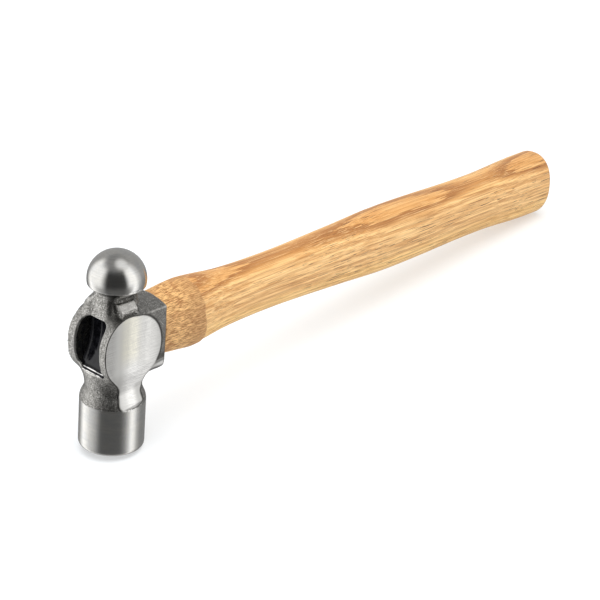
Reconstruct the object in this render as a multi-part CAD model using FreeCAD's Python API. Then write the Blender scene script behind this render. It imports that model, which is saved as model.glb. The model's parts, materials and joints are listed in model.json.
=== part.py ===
import FreeCAD
import Part

import math
import os

# Ball peen hammer, millimetres.
#
# The pieces are drawn upright first: the middle of the striking face is the origin, +Z runs up the head
# to the peen and +X runs along the handle to the butt. A hammer set down on its face tips back until its
# butt touches the bench, so at the end every piece is turned by that small angle about Y and moved so
# that the bench is z = 0 and the middle of the footprint is the origin.

# Head
HEAD_LENGTH = 100.0
FACE_RADIUS = 15.85
FACE_BEVEL = 1.5
POLL_TOP = 24.6
NECK_WAIST_RADIUS = 13.65
NECK_WAIST_Z = 32.0
NECK_TOP_RADIUS = 14.6
NECK_TOP_Z = 38.5
BALL_RADIUS = 14.0
BALL_RIM_Z = 82.8
BALL_RIM_BEVEL = 0.9
PEEN_NECK_RADIUS = 9.4
PEEN_NECK_TOP_Z = 80.6
PEEN_NECK_FOOT_RADIUS = 12.6
PEEN_NECK_FOOT_Z = 70.0
PEEN_NECK_MIDDLE = (10.1, 73.4)
PEEN_NECK_FRONT = 11.0
PEEN_HOLLOW_Y = 12.57
PEEN_HOLLOW_Z = 75.77
PEEN_HOLLOW_RADIUS = 5.77

# Cheeks: a round boss across the head, fuller at its upper front, ground flat on both sides
CHEEK_RADIUS = 17.6
CHEEK_Z = 53.5
CHEEK_HALF_WIDTH = 13.1
BROW_RADIUS = 15.0
BROW_X = -2.6
BROW_Z = 56.6

# Ground hollow from each cheek down to the poll: (y, z) of its narrowest place, its foot and the step there
GROUND_NECK = (11.7, 31.5)
GROUND_FOOT = (14.3, 25.6)
GROUND_STEP = (16.4, 24.6)
GROUND_UPPER_Z = 45.5
GROUND_TOP_Z = 77.0
GROUND_TILT = 9.0

# Square block behind the cheeks, where the handle enters
BLOCK_BACK_X = 21.2
BLOCK_FRONT_X = -2.0
BLOCK_HALF_WIDTH = 12.7
BLOCK_BOTTOM_Z = 37.1
BLOCK_SHOULDER_Z = 70.4
BLOCK_CROWN_Z = 73.0
BLOCK_LOWER_CORNER = 4.6
BLOCK_HEEL = 4.0

# Trimmed flash pads beside the peen's neck; the left one runs further forward than the right one
PAD_RIGHT_FRONT_X = -6.4
PAD_LEFT_FRONT_X = -10.1
PAD_BACK_X = 3.8
PAD_LOW_Z = 70.5
PAD_TOP_Z = 76.8
PAD_TOP_Y = 8.2
PAD_EDGE_Y = 10.9
PAD_EDGE_Z = 73.7
PAD_ROOT_Y = 6.0

# Eye: (x, half width, half height) of its rounded outline at the front, the waist and the back
EYE_Z = 56.2
EYE_FRONT = (-19.0, 8.2, 12.7)
EYE_WAIST = (-2.0, 7.6, 11.8)
EYE_BACK = (BLOCK_BACK_X, 9.2, 13.4)
EYE_CORNER = 4.0

# Bevel filed on the lower front lip of the eye, a little off centre: (x, z) of its edges, and its ends
LIP_LOW = (-14.2, 41.8)
LIP_HIGH = (-12.3, 44.2)
LIP_LEFT_Y = 5.8
LIP_RIGHT_Y = -8.4

# Handle: (x, half height) of its oval, from the head to the butt
HANDLE_PROFILE = (
    (BLOCK_BACK_X, 16.3), (31.0, 16.9), (43.0, 17.5), (52.0, 16.9), (63.0, 15.7), (80.0, 14.75),
    (103.0, 14.55), (135.0, 15.45), (160.0, 16.5), (185.0, 17.7), (210.0, 17.9), (237.0, 17.5),
    (262.0, 17.0), (285.0, 17.3), (306.0, 18.3), (322.0, 18.8), (336.0, 19.0),
)
HANDLE_Z = 56.1
HANDLE_RATIO = 1.3
HANDLE_FULLNESS = 2.2
OVAL_POINTS = 24
BUTT_ROUNDING = 3.6
TENON_FRONT_X = -6.0

# Wedges driven into the tenon from the front
WOOD_WEDGE_LENGTH = 20.0
WOOD_WEDGE_THICK = 3.2
WOOD_WEDGE_THIN = 0.8
STEEL_WEDGE_LENGTH = 13.0
STEEL_WEDGE_HALF_WIDTH = 5.5
STEEL_WEDGE_THICK = 2.4
STEEL_WEDGE_THIN = 0.4
STEEL_WEDGE_OFFSETS = (-5.6, 5.6)

# Resin poured over the wedged end: a hollow front that runs down to the lower lip and over its bevel
RESIN_TOP = (-7.6, 69.5)
RESIN_MIDDLE = (-9.4, 51.5)
RESIN_LIP = (-13.0, 44.6)
RESIN_FILM = 0.45

VECTOR = FreeCAD.Vector
AXIS_X = VECTOR(1, 0, 0)
AXIS_Y = VECTOR(0, 1, 0)
AXIS_Z = VECTOR(0, 0, 1)
ORIGIN = VECTOR(0, 0, 0)
DIAGONAL = math.sqrt(0.5)


def line(start, end):
    return Part.LineSegment(start, end).toShape()


def arc(start, middle, end):
    return Part.Arc(start, middle, end).toShape()


def in_xz(x, z, y=0.0):
    return VECTOR(x, y, z)


def in_yz(y, z, x=0.0):
    return VECTOR(x, y, z)


def solid_of_turning(edges):
    """Turns a closed outline in the XZ plane about the Z axis."""
    return Part.Face(Part.Wire(edges)).revolve(ORIGIN, AXIS_Z, 360)


def s_curve(low, high, plane):
    """Two equal arcs from low to high, upright at both ends, given as (out, z) points of a plane."""
    radius_step = (low[0] - high[0]) / 2
    height_step = (high[1] - low[1]) / 2
    bend = (radius_step**2 + height_step**2) / (2 * radius_step)
    half_turn = math.asin(height_step / bend) / 2
    bulge = bend * (1 - math.cos(half_turn))
    rise = bend * math.sin(half_turn)
    middle = plane((low[0] + high[0]) / 2, (low[1] + high[1]) / 2)
    first = arc(plane(*low), plane(low[0] - bulge, low[1] + rise), middle)
    second = arc(middle, plane(high[0] + bulge, high[1] - rise), plane(*high))
    return [first, second]


def poll_and_neck():
    """The turned striking end, its rounded shoulder and the neck that runs up into the cheeks."""
    edges = [
        line(in_xz(0, 0), in_xz(FACE_RADIUS - FACE_BEVEL, 0)),
        line(in_xz(FACE_RADIUS - FACE_BEVEL, 0), in_xz(FACE_RADIUS, FACE_BEVEL)),
        line(in_xz(FACE_RADIUS, FACE_BEVEL), in_xz(FACE_RADIUS, POLL_TOP)),
    ]
    edges += s_curve((FACE_RADIUS, POLL_TOP), (NECK_WAIST_RADIUS, NECK_WAIST_Z), in_xz)
    edges += [
        line(in_xz(NECK_WAIST_RADIUS, NECK_WAIST_Z), in_xz(NECK_TOP_RADIUS, NECK_TOP_Z)),
        line(in_xz(NECK_TOP_RADIUS, NECK_TOP_Z), in_xz(NECK_TOP_RADIUS, CHEEK_Z)),
        line(in_xz(NECK_TOP_RADIUS, CHEEK_Z), in_xz(0, CHEEK_Z)),
        line(in_xz(0, CHEEK_Z), in_xz(0, 0)),
    ]
    neck = solid_of_turning(edges)
    cheek_gap = 2 * CHEEK_HALF_WIDTH
    span = 2 * FACE_RADIUS
    keep_low = Part.makeBox(span, span, NECK_TOP_Z, VECTOR(-FACE_RADIUS, -FACE_RADIUS, 0))
    keep_high = Part.makeBox(span, cheek_gap, CHEEK_Z, VECTOR(-FACE_RADIUS, -CHEEK_HALF_WIDTH, 0))
    return neck.common(keep_low.fuse(keep_high))


def cheek_boss():
    """The round boss across the eye with its full brow; its two flat ends are the cheeks."""
    width = 2 * CHEEK_HALF_WIDTH
    boss = Part.makeCylinder(CHEEK_RADIUS, width, VECTOR(0, -CHEEK_HALF_WIDTH, CHEEK_Z), AXIS_Y)
    brow = Part.makeCylinder(BROW_RADIUS, width, VECTOR(BROW_X, -CHEEK_HALF_WIDTH, BROW_Z), AXIS_Y)
    return boss.fuse(brow)


def peen_neck():
    """The neck under the ball: spreading into the boss, shallower at the front, hollow on both sides."""
    rim_radius = math.sqrt(BALL_RADIUS**2 - (HEAD_LENGTH - BALL_RADIUS - BALL_RIM_Z) ** 2)
    top = in_xz(PEEN_NECK_RADIUS, PEEN_NECK_TOP_Z)
    foot = in_xz(PEEN_NECK_FOOT_RADIUS, PEEN_NECK_FOOT_Z)
    bottom = in_xz(PEEN_NECK_FOOT_RADIUS, CHEEK_Z)
    rim = in_xz(rim_radius - BALL_RIM_BEVEL, BALL_RIM_Z)
    neck = solid_of_turning([
        line(in_xz(0, CHEEK_Z), bottom),
        line(bottom, foot),
        arc(foot, in_xz(*PEEN_NECK_MIDDLE), top),
        line(top, rim),
        line(rim, in_xz(0, BALL_RIM_Z)),
        line(in_xz(0, BALL_RIM_Z), in_xz(0, CHEEK_Z)),
    ])
    front_cut = Part.makeBox(
        CHEEK_RADIUS, 2 * CHEEK_RADIUS, PEEN_NECK_TOP_Z - CHEEK_Z - BALL_RIM_BEVEL,
        VECTOR(-CHEEK_RADIUS - PEEN_NECK_FRONT, -CHEEK_RADIUS, CHEEK_Z),
    )
    hollows = [
        Part.makeCylinder(
            PEEN_HOLLOW_RADIUS, 2 * CHEEK_RADIUS, VECTOR(-CHEEK_RADIUS, side * PEEN_HOLLOW_Y, PEEN_HOLLOW_Z),
            AXIS_X,
        )
        for side in (-1, 1)
    ]
    return neck.cut([front_cut, *hollows])


def ball():
    """The turned peen: a ball cut off by a flat underside with a small bevelled rim."""
    centre_z = HEAD_LENGTH - BALL_RADIUS
    bevel_z = BALL_RIM_Z + BALL_RIM_BEVEL
    bevel_radius = math.sqrt(BALL_RADIUS**2 - (centre_z - bevel_z) ** 2)
    on_ball = in_xz(BALL_RADIUS * DIAGONAL, centre_z + BALL_RADIUS * DIAGONAL)
    under_radius = bevel_radius - BALL_RIM_BEVEL
    return solid_of_turning([
        line(in_xz(0, BALL_RIM_Z), in_xz(under_radius, BALL_RIM_Z)),
        line(in_xz(under_radius, BALL_RIM_Z), in_xz(bevel_radius, bevel_z)),
        arc(in_xz(bevel_radius, bevel_z), on_ball, in_xz(0, HEAD_LENGTH)),
        line(in_xz(0, HEAD_LENGTH), in_xz(0, BALL_RIM_Z)),
    ])


def block_side_view():
    """The block seen from the side, with its rounded heel, as a solid across the head."""
    y = -BLOCK_HALF_WIDTH
    low, heel_z = BLOCK_BOTTOM_Z, BLOCK_BOTTOM_Z + BLOCK_HEEL
    heel_x = BLOCK_BACK_X - BLOCK_HEEL
    on_heel = in_xz(heel_x + BLOCK_HEEL * DIAGONAL, heel_z - BLOCK_HEEL * DIAGONAL, y)
    outline = [
        line(in_xz(BLOCK_FRONT_X, low, y), in_xz(heel_x, low, y)),
        arc(in_xz(heel_x, low, y), on_heel, in_xz(BLOCK_BACK_X, heel_z, y)),
        line(in_xz(BLOCK_BACK_X, heel_z, y), in_xz(BLOCK_BACK_X, BLOCK_CROWN_Z, y)),
        line(in_xz(BLOCK_BACK_X, BLOCK_CROWN_Z, y), in_xz(BLOCK_FRONT_X, BLOCK_CROWN_Z, y)),
        line(in_xz(BLOCK_FRONT_X, BLOCK_CROWN_Z, y), in_xz(BLOCK_FRONT_X, low, y)),
    ]
    return Part.Face(Part.Wire(outline)).extrude(AXIS_Y * (2 * BLOCK_HALF_WIDTH))


def handle_block():
    """The block behind the cheeks: upright sides, a crowned top, rounded lower corners and heel."""
    x, side, corner = BLOCK_FRONT_X, BLOCK_HALF_WIDTH, BLOCK_LOWER_CORNER
    low, corner_z = BLOCK_BOTTOM_Z, BLOCK_BOTTOM_Z + BLOCK_LOWER_CORNER
    inset = corner * (1 - DIAGONAL)
    outline = [
        line(in_yz(-side + corner, low, x), in_yz(side - corner, low, x)),
        arc(in_yz(side - corner, low, x), in_yz(side - inset, low + inset, x), in_yz(side, corner_z, x)),
        line(in_yz(side, corner_z, x), in_yz(side, BLOCK_SHOULDER_Z, x)),
        arc(in_yz(side, BLOCK_SHOULDER_Z, x), in_yz(0, BLOCK_CROWN_Z, x), in_yz(-side, BLOCK_SHOULDER_Z, x)),
        line(in_yz(-side, BLOCK_SHOULDER_Z, x), in_yz(-side, corner_z, x)),
        arc(in_yz(-side, corner_z, x), in_yz(-side + inset, low + inset, x), in_yz(-side + corner, low, x)),
    ]
    block = Part.Face(Part.Wire(outline)).extrude(AXIS_X * (BLOCK_BACK_X - BLOCK_FRONT_X))
    return block.common(block_side_view())


def flash_pad(side, front_x):
    """A trimmed flash pad on one side (-1 or 1) of the peen's neck."""
    corners = [
        in_yz(side * PAD_ROOT_Y, PAD_LOW_Z, front_x),
        in_yz(side * PAD_EDGE_Y, PAD_LOW_Z, front_x),
        in_yz(side * PAD_EDGE_Y, PAD_EDGE_Z, front_x),
        in_yz(side * PAD_TOP_Y, PAD_TOP_Z, front_x),
        in_yz(side * PAD_ROOT_Y, PAD_TOP_Z, front_x),
    ]
    outline = Part.makePolygon(corners + corners[:1])
    return Part.Face(outline).extrude(AXIS_X * (PAD_BACK_X - front_x))


def grinding(side):
    """What the wheel takes off one side (-1 or 1): flush with the cheek, hollow at the neck."""
    x = -2 * CHEEK_RADIUS
    outer, cheek = side * 2 * GROUND_STEP[0], side * CHEEK_HALF_WIDTH
    neck, foot, step = ((side * y, z) for y, z in (GROUND_NECK, GROUND_FOOT, GROUND_STEP))
    edges = [
        line(in_yz(outer, step[1]), in_yz(*step)),
        line(in_yz(*step), in_yz(*foot)),
        line(in_yz(*foot), in_yz(*neck)),
    ]
    edges += s_curve(neck, (cheek, GROUND_UPPER_Z), in_yz)
    edges += [
        line(in_yz(cheek, GROUND_UPPER_Z), in_yz(cheek, GROUND_TOP_Z)),
        line(in_yz(cheek, GROUND_TOP_Z), in_yz(outer, GROUND_TOP_Z)),
        line(in_yz(outer, GROUND_TOP_Z), in_yz(outer, step[1])),
    ]
    tool = Part.Face(Part.Wire(edges)).extrude(AXIS_X * (4 * CHEEK_RADIUS))
    tool.translate(VECTOR(x, 0, 0))
    tool.rotate(in_xz(0, GROUND_NECK[1]), AXIS_Y, -GROUND_TILT)
    return tool


def eye_outline(x, half_width, half_height):
    """A rectangle with round corners across the X axis."""
    y, z, r = half_width, half_height, EYE_CORNER
    inset = r * (1 - DIAGONAL)
    edges = []
    for sy, sz in ((1, 1), (-1, 1), (-1, -1), (1, -1)):
        on_side = in_yz(sy * y, EYE_Z + sz * (z - r), x)
        on_corner = in_yz(sy * (y - inset), EYE_Z + sz * (z - inset), x)
        on_end = in_yz(sy * (y - r), EYE_Z + sz * z, x)
        turn = [on_side, on_corner, on_end]
        if sy * sz < 0:
            turn.reverse()
        if edges:
            edges.append(line(edges[-1].lastVertex().Point, turn[0]))
        edges.append(arc(*turn))
    edges.append(line(edges[-1].lastVertex().Point, edges[0].firstVertex().Point))
    return Part.Wire(edges)


def eye_space():
    """The eye as a solid: it narrows from both ends to a waist."""
    front = Part.makeLoft([eye_outline(*EYE_FRONT), eye_outline(*EYE_WAIST)], True, True)
    back = Part.makeLoft([eye_outline(*EYE_WAIST), eye_outline(*EYE_BACK)], True, True)
    return front.fuse(back).removeSplitter()


def lip_space():
    """The space in front of the bevel on the lower lip of the eye."""
    y = LIP_RIGHT_Y
    front_x = -CHEEK_RADIUS
    corners = [
        in_xz(front_x, LIP_LOW[1], y),
        in_xz(*LIP_LOW, y),
        in_xz(*LIP_HIGH, y),
        in_xz(front_x, LIP_HIGH[1], y),
    ]
    outline = Part.makePolygon(corners + corners[:1])
    return Part.Face(outline).extrude(AXIS_Y * (LIP_LEFT_Y - LIP_RIGHT_Y))


def hammer_head(eye):
    """The whole forging, with its eye cut through."""
    pads = [flash_pad(-1, PAD_RIGHT_FRONT_X), flash_pad(1, PAD_LEFT_FRONT_X)]
    pieces = [cheek_boss(), peen_neck(), ball(), handle_block(), *pads]
    body = poll_and_neck().fuse(pieces).removeSplitter()
    return body.cut([grinding(-1), grinding(1), eye, lip_space()])


def slab(front_x, back_x):
    """Everything between two planes across the X axis, larger than the eye."""
    reach = 2 * CHEEK_RADIUS
    return Part.makeBox(back_x - front_x, 2 * reach, 2 * reach, VECTOR(front_x, -reach, EYE_Z - reach))


def taper(length, thick, thin, half_width):
    """A wedge that points along +X from x = 0, thin across Z and as wide as 2 x half_width across Y."""
    corners = [
        VECTOR(0, -half_width, -thick / 2),
        VECTOR(0, -half_width, thick / 2),
        VECTOR(length, -half_width, thin / 2),
        VECTOR(length, -half_width, -thin / 2),
    ]
    outline = Part.makePolygon(corners + corners[:1])
    return Part.Face(outline).extrude(AXIS_Y * (2 * half_width))


def steel_wedges():
    """Two short steel wedges across the wooden one."""
    wedges = []
    for offset in STEEL_WEDGE_OFFSETS:
        wedge = taper(STEEL_WEDGE_LENGTH, STEEL_WEDGE_THICK, STEEL_WEDGE_THIN, STEEL_WEDGE_HALF_WIDTH)
        wedge.translate(VECTOR(TENON_FRONT_X, 0, EYE_Z + offset))
        wedges.append(wedge)
    return Part.makeCompound(wedges)


def wooden_wedge_blank():
    """The wooden wedge before the steel ones cut it, standing on edge the full height of the eye."""
    blank = taper(WOOD_WEDGE_LENGTH, WOOD_WEDGE_THICK, WOOD_WEDGE_THIN, CHEEK_RADIUS)
    blank.rotate(ORIGIN, AXIS_X, 90)
    blank.translate(VECTOR(TENON_FRONT_X, 0, EYE_Z))
    return blank


def handle_oval(x, half_height):
    """An oval across the X axis, taller than wide and a little fuller than an ellipse."""
    points = []
    for step in range(OVAL_POINTS):
        angle = math.radians(360 * step / OVAL_POINTS)
        across, up = math.cos(angle), math.sin(angle)
        size = (abs(across) ** HANDLE_FULLNESS + abs(up) ** HANDLE_FULLNESS) ** (-1 / HANDLE_FULLNESS)
        reach = size * half_height
        points.append(VECTOR(x, reach * across / HANDLE_RATIO, HANDLE_Z + reach * up))
    oval = Part.BSplineCurve()
    oval.interpolate(Points=points, PeriodicFlag=True)
    return Part.Wire(oval.toShape())


def handle_blank():
    """The turned handle from the head's back face to the butt, with the butt's edge rounded."""
    blank = Part.makeLoft([handle_oval(*station) for station in HANDLE_PROFILE], True, False)
    butt_x = HANDLE_PROFILE[-1][0]
    butt_edges = [edge for edge in blank.Edges if edge.BoundBox.XMin > butt_x - 0.01]
    return blank.makeFillet(BUTT_ROUNDING, butt_edges)


def handle(eye, wood_wedge, steel):
    """The handle with its tenon, which fills the eye and is split by the wedges."""
    tenon = eye.common(slab(TENON_FRONT_X, BLOCK_BACK_X))
    return handle_blank().fuse(tenon).removeSplitter().cut([wood_wedge, steel])


def resin_seal(eye):
    """Resin over the end of the tenon, down to the lower lip of the eye and over its bevel."""
    y = -CHEEK_RADIUS
    lip, middle, top = (in_xz(*point, y) for point in (RESIN_LIP, RESIN_MIDDLE, RESIN_TOP))
    film_low = in_xz(LIP_LOW[0] - RESIN_FILM, LIP_LOW[1], y)
    film_high = in_xz(film_low.x, film_low.z + RESIN_FILM, y)
    outline = [
        arc(top, middle, lip),
        line(lip, film_high),
        line(film_high, film_low),
        line(film_low, in_xz(TENON_FRONT_X, film_low.z, y)),
        line(in_xz(TENON_FRONT_X, film_low.z, y), in_xz(TENON_FRONT_X, top.z, y)),
        line(in_xz(TENON_FRONT_X, top.z, y), top),
    ]
    pour = Part.Face(Part.Wire(outline)).extrude(AXIS_Y * (2 * CHEEK_RADIUS))
    return pour.common(eye.fuse(lip_space()))


def build_upright():
    """All the pieces in the upright frame, by node name."""
    eye = eye_space()
    steel = steel_wedges()
    wood_wedge = wooden_wedge_blank().common(eye)
    return {
        "hammer_head": hammer_head(eye),
        "handle": handle(eye, wood_wedge, steel),
        "wooden_wedge": wood_wedge.cut(steel),
        "steel_wedge_lower": steel.Solids[0],
        "steel_wedge_upper": steel.Solids[1],
        "resin_seal": resin_seal(eye),
    }


def settle(pieces):
    """Tips the hammer back onto its butt and puts the middle of its footprint at the origin."""
    butt_x, butt_half_height = HANDLE_PROFILE[-1]
    heel = VECTOR(FACE_RADIUS - FACE_BEVEL, 0, 0)
    butt_low = VECTOR(butt_x - BUTT_ROUNDING, 0, HANDLE_Z - butt_half_height)
    tip = math.degrees(math.atan2(butt_low.z, butt_low.x - heel.x))
    whole = Part.makeCompound(list(pieces.values()))
    whole.rotate(ORIGIN, AXIS_Y, tip)
    box = whole.optimalBoundingBox(False)
    move = VECTOR(-box.Center.x, -box.Center.y, -box.ZMin)
    for shape in pieces.values():
        shape.rotate(ORIGIN, AXIS_Y, tip)
        shape.translate(move)
    return tip, move


def main():
    os.makedirs("parts", exist_ok=True)
    pieces = build_upright()
    tip, move = settle(pieces)
    print("tipped back by %.3f degrees, then moved by (%.3f, %.3f, %.3f)" % (tip, *move))
    for name, shape in pieces.items():
        facts = (name, len(shape.Solids), shape.isValid(), shape.Volume)
        print("%-18s solids %d, valid %s, volume %.0f" % facts)
        shape.exportStep(os.path.join("parts", name + ".step"))


main()
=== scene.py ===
import json
import math

import bpy
import numpy as np
from mathutils import Matrix, Vector
from mathutils.bvhtree import BVHTree


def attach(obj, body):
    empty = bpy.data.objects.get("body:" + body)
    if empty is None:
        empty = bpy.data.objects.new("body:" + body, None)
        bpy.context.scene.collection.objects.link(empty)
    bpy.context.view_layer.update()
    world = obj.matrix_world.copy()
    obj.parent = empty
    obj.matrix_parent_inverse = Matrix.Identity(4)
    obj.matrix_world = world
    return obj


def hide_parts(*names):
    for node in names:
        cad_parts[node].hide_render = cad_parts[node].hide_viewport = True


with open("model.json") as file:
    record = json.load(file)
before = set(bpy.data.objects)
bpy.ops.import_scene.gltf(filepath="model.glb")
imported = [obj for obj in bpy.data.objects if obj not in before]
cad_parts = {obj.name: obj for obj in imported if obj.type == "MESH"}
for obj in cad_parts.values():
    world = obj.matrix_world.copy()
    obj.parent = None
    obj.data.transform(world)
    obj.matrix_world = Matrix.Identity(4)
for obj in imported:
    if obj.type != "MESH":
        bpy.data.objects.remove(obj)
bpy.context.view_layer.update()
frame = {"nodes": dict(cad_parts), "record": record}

MM = 0.001

# The hammer's upright frame, in millimetres: the middle of the striking face is its origin, z runs up
# the head to the peen and x along the handle to the butt.
FACE = frame["record"]["mounts"][0]
UPRIGHT_ORIGIN = np.array(FACE["pos_m"]) / MM
HEAD_UP = -np.array(FACE["axis"])
ACROSS = np.array((0.0, 1.0, 0.0))
TO_BUTT = np.cross(ACROSS, HEAD_UP)
UPRIGHT_AXES = np.array((TO_BUTT, ACROSS, HEAD_UP))

# Sizes of the head's surfaces, in millimetres. They are the CAD model's, apart from PEEN_NECK_RADIUS,
# GROUND_NECK_Y and PAD_LOW_Z, which are set a little differently for the visual surfaces.
FACE_RADIUS = 15.85
FACE_BEVEL = 1.5
POLL_TOP = 24.6
NECK_WAIST_RADIUS = 13.65
NECK_WAIST_Z = 32.0
NECK_TOP_RADIUS = 14.6
NECK_TOP_Z = 38.5
BALL_RADIUS = 14.0
BALL_Z = 86.0
BALL_RIM_Z = 82.8
BALL_LOW = 83.4
PEEN_NECK_RADIUS = 9.8
PEEN_NECK_TOP_Z = 80.6
PEEN_NECK_FOOT_RADIUS = 12.6
PEEN_NECK_FOOT_Z = 70.0
PEEN_NECK_FRONT = 11.0
PEEN_HOLLOW = (12.57, 75.77)
PEEN_HOLLOW_RADIUS = 5.77
CHEEK_RADIUS = 17.6
CHEEK_Z = 53.5
CHEEK_Y = 13.1
BROW_RADIUS = 15.0
BROW_CENTRE = (-2.6, 56.6)
GROUND_NECK_Y = 11.6
GROUND_NECK_Z = 31.5
GROUND_UPPER_Z = 45.5
GROUND_END_Z = 25.6
GROUND_END_Y = 14.3
GROUND_STEP_Z = 24.6
GROUND_STEP_Y = 16.4
GROUND_TILT = math.radians(9.0)
BLOCK_BACK_X = 21.2
BLOCK_FRONT_X = -2.0
BLOCK_HALF_WIDTH = 12.7
BLOCK_BOTTOM_Z = 37.1
BLOCK_SHOULDER_Z = 70.4
BLOCK_CROWN_Z = 73.0
BLOCK_CORNER = 4.6
BLOCK_HEEL = 4.0
PAD_FRONT_X = -6.4
PAD_BACK_X = 3.8
PAD_LOW_Z = 68.0
PAD_TOP_Z = 76.8
PAD_TOP_Y = 8.2
PAD_EDGE_Y = 10.9
PAD_EDGE_Z = 73.7
EYE_Z = 56.2
EYE_FRONT = (-19.0, 8.2, 12.7)
EYE_WAIST = (-2.0, 7.6, 11.8)
EYE_BACK = (21.2, 9.2, 13.4)
EYE_CORNER = 4.0
LIP_LOW = (-14.2, 41.8)
LIP_HIGH = (-12.3, 44.2)
LIP_LEFT_Y = 5.8
LIP_RIGHT_Y = -8.4
HANDLE_Z = 56.1
TENON_FRONT_X = -6.0
BUTT_ROUNDING = 3.6


# ---------------------------------------------------------------- geometry helpers


def to_upright(points):
    return (np.asarray(points) / MM - UPRIGHT_ORIGIN) @ UPRIGHT_AXES.T


def from_upright(points):
    return (np.asarray(points) @ UPRIGHT_AXES + UPRIGHT_ORIGIN) * MM


def smooth_step(value, low, high):
    """0 below low, 1 above high, with a smooth rise between them."""
    share = np.clip((value - low) / (high - low), 0.0, 1.0)
    return share * share * (3 - 2 * share)


def lattice_value(cells, seed):
    """A fixed random value from -1 to 1 for each whole-number cell."""
    mixed = cells[:, 0] * 73856093 ^ cells[:, 1] * 19349663 ^ cells[:, 2] * 83492791 ^ seed * 2654435761
    mixed = (mixed ^ (mixed >> 13)) * 1274126177
    mixed = (mixed ^ (mixed >> 16)) & 0xFFFF
    return mixed / 32767.5 - 1.0


def noise(points, cell, seed):
    """Smooth noise from -1 to 1; cell is its grain along each axis, in the points' own unit."""
    scaled = points / np.asarray(cell, float)
    base = np.floor(scaled).astype(np.int64)
    share = scaled - base
    share = share * share * (3 - 2 * share)
    total = np.zeros(len(points))
    for corner in np.ndindex(2, 2, 2):
        weight = np.prod(np.where(corner, share, 1 - share), axis=1)
        total += weight * lattice_value(base + np.array(corner), seed)
    return total


def coordinates(mesh):
    flat = np.zeros(len(mesh.vertices) * 3)
    mesh.vertices.foreach_get("co", flat)
    return flat.reshape(-1, 3)


def normals(mesh):
    flat = np.zeros(len(mesh.vertices) * 3)
    mesh.vertex_normals.foreach_get("vector", flat)
    return flat.reshape(-1, 3) @ UPRIGHT_AXES.T


def edges_of(mesh):
    flat = np.zeros(len(mesh.edges) * 2, np.int64)
    mesh.edges.foreach_get("vertices", flat)
    return flat.reshape(-1, 2)


def place(mesh, upright):
    mesh.vertices.foreach_set("co", from_upright(upright).ravel())
    mesh.update()


def triangles(node):
    """A CAD node's corner points in the upright frame, and its triangles."""
    mesh = frame["nodes"][node].data
    mesh.calc_loop_triangles()
    flat = np.zeros(len(mesh.loop_triangles) * 3, np.int64)
    mesh.loop_triangles.foreach_get("vertices", flat)
    return to_upright(coordinates(mesh)), flat.reshape(-1, 3)


def surface_tree(points, faces):
    return BVHTree.FromPolygons([Vector(p) for p in points], faces.tolist())


def remeshed(node, voxel):
    """A mesh of even quads over a CAD node, voxel millimetres wide."""
    copy = bpy.data.objects.new("remesh", frame["nodes"][node].data.copy())
    bpy.context.scene.collection.objects.link(copy)
    weld = copy.modifiers.new("weld", "WELD")
    weld.merge_threshold = 1e-6
    remesh = copy.modifiers.new("remesh", "REMESH")
    remesh.mode = "VOXEL"
    remesh.voxel_size = voxel * MM
    ready = copy.evaluated_get(bpy.context.evaluated_depsgraph_get())
    mesh = bpy.data.meshes.new_from_object(ready)
    bpy.data.objects.remove(copy)
    mesh.materials.clear()
    return mesh


def relaxed(points, edges, freedom, rounds):
    """Moves each point towards the middle of its neighbours, as far as its freedom (0 to 1) lets it."""
    first, second = edges[:, 0], edges[:, 1]
    count = np.bincount(edges.ravel(), minlength=len(points))[:, None]
    for _ in range(rounds):
        total = np.empty_like(points)
        for axis in range(3):
            column = points[:, axis]
            total[:, axis] = np.bincount(first, column[second], len(points))
            total[:, axis] += np.bincount(second, column[first], len(points))
        points = points + 0.5 * freedom[:, None] * (total / count - points)
    return points


def keep_value(mesh, name, values):
    attribute = mesh.attributes.new(name, "FLOAT", "POINT")
    attribute.data.foreach_set("value", np.asarray(values, np.float32))


def keep_vector(mesh, name, vectors):
    attribute = mesh.attributes.new(name, "FLOAT_VECTOR", "POINT")
    attribute.data.foreach_set("vector", np.asarray(vectors, np.float32).ravel())


def shade_smooth(mesh):
    mesh.polygons.foreach_set("use_smooth", np.ones(len(mesh.polygons), bool))


def new_piece(name, mesh, node, materials):
    """A finished piece that stands for a CAD node."""
    shade_smooth(mesh)
    for material in materials:
        mesh.materials.append(material)
    piece = bpy.data.objects.new(name, mesh)
    bpy.context.scene.collection.objects.link(piece)
    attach(piece, "root")
    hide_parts(node)


# ---------------------------------------------------------------- node helpers


def new_material(name):
    material = bpy.data.materials.new(name)
    material.use_nodes = True
    return material, material.node_tree


def add(tree, kind, inputs=None, **settings):
    """Adds a node, sets its properties and fills its inputs, each with a value or another node's socket."""
    made = tree.nodes.new(kind)
    for key, value in settings.items():
        setattr(made, key, value)
    for key, value in (inputs or {}).items():
        if isinstance(value, bpy.types.NodeSocket):
            tree.links.new(value, made.inputs[key])
        else:
            made.inputs[key].default_value = value
    return made


def attribute(tree, name, output="Fac"):
    return add(tree, "ShaderNodeAttribute", attribute_name=name).outputs[output]


def scaled(tree, vector, scale, offset=(0, 0, 0)):
    return add(tree, "ShaderNodeMapping", {"Vector": vector, "Scale": scale, "Location": offset}).outputs[0]


def grain(tree, vector, scale=1.0, detail=2.0, roughness=0.5, distortion=0.0):
    inputs = {"Vector": vector, "Scale": scale, "Detail": detail, "Roughness": roughness}
    return add(tree, "ShaderNodeTexNoise", {**inputs, "Distortion": distortion}).outputs["Fac"]


def remap(tree, value, low, high, out_low=0.0, out_high=1.0, smooth=True):
    """Carries a value between low and high over to out_low and out_high, and holds it at both ends."""
    kind = "SMOOTHSTEP" if smooth else "LINEAR"
    inputs = {"Value": value, "From Min": low, "From Max": high, "To Min": out_low, "To Max": out_high}
    return add(tree, "ShaderNodeMapRange", inputs, interpolation_type=kind).outputs["Result"]


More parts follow.
